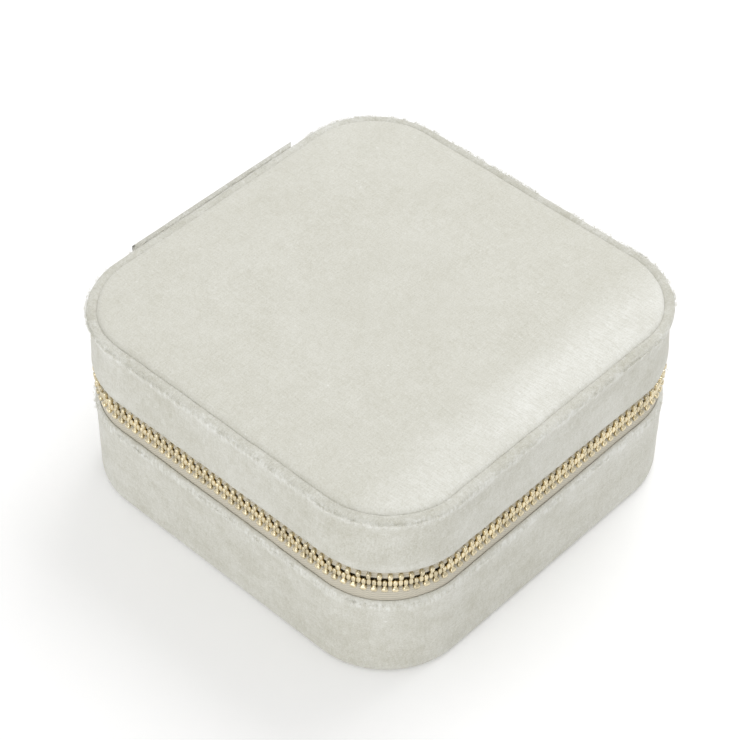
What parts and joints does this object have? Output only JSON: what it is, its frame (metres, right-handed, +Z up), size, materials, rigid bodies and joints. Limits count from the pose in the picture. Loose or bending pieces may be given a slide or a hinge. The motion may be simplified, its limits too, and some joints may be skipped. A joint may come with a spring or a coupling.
{
  "type": "jewelry box",
  "caption": "Square velvet-covered travel jewelry box with round corners: hinged lid with padded top, metal zip round the sides, ring rolls, compartments and a mirror in the lid.",
  "frame": {"origin": "centre of the underside, on the surface the box stands on", "axes": "+Z up through the lid; -Y to the front; +Y to the hinged back; +X to the side where the shut slider is"},
  "size_m": [0.1026, 0.1016, 0.0495],
  "materials": {
    "velvet": "short-pile velvet, off-white",
    "lining_velvet": "short-pile velvet lining, off-white",
    "woven_tape": "woven polyester tape, ivory",
    "greyboard": "raw greyboard",
    "gold_metal": "plated, satin gold",
    "mirror": "silvered glass"
  },
  "bodies": {
    "base": {"base_shell": "greyboard", "base_collar": "greyboard", "base_lining": "lining_velvet", "base_side_cover": "velvet", "base_bottom_panel": "velvet", "zip_tape_base": "woven_tape", "zip_teeth_base": "gold_metal", "zip_teeth_base_right": "gold_metal", "zip_stops_base": "gold_metal", "hinge_strip": "velvet", "hinge_lining": "woven_tape", "centre_partition": "lining_velvet", "ring_roll_1": "lining_velvet", "ring_roll_2": "lining_velvet", "ring_roll_3": "lining_velvet", "ring_roll_4": "lining_velvet", "ring_roll_5": "lining_velvet", "ring_roll_6": "lining_velvet"},
    "lid": {"lid_shell": "greyboard", "lid_collar": "greyboard", "lid_lining": "lining_velvet", "lid_side_cover": "velvet", "lid_panel_board": "greyboard", "lid_top_panel": "velvet", "zip_tape_lid": "woven_tape", "zip_teeth_lid": "gold_metal", "zip_teeth_lid_right": "gold_metal", "zip_stops_lid": "gold_metal", "mirror": "mirror", "mirror_frame": "lining_velvet"},
    "slider": {"slider_body": "gold_metal", "slider_crown": "gold_metal"},
    "pull": {"pull_tab": "gold_metal"},
    "divider_front": {"divider_front": "lining_velvet"},
    "divider_back": {"divider_back": "lining_velvet"}
  },
  "joints": [
    {"name": "lid_hinge", "type": "hinge", "parent": "base", "child": "lid", "pos_m": [0, 0.0508, 0.028], "axis": [-1, 0, 0], "range_deg": [0, 110], "deforming": ["hinge_strip", "hinge_lining"]},
    {"name": "zip_slide", "type": "slide", "parent": "base", "child": "slider", "axis": [0, -1, 0], "range_m": [0, 0.05], "deforming": ["zip_teeth_base_right", "zip_teeth_lid_right"]},
    {"name": "pull_pivot", "type": "hinge", "parent": "slider", "child": "pull", "pos_m": [0.05112, 0.0245, 0.028], "axis": [0, 0, 1], "range_deg": [0, 175]},
    {"name": "divider_front_lift", "type": "slide", "parent": "base", "child": "divider_front", "axis": [0, 0, 1], "range_m": [0, 0.02]},
    {"name": "divider_back_lift", "type": "slide", "parent": "base", "child": "divider_back", "axis": [0, 0, 1], "range_m": [0, 0.02]}
  ]
}
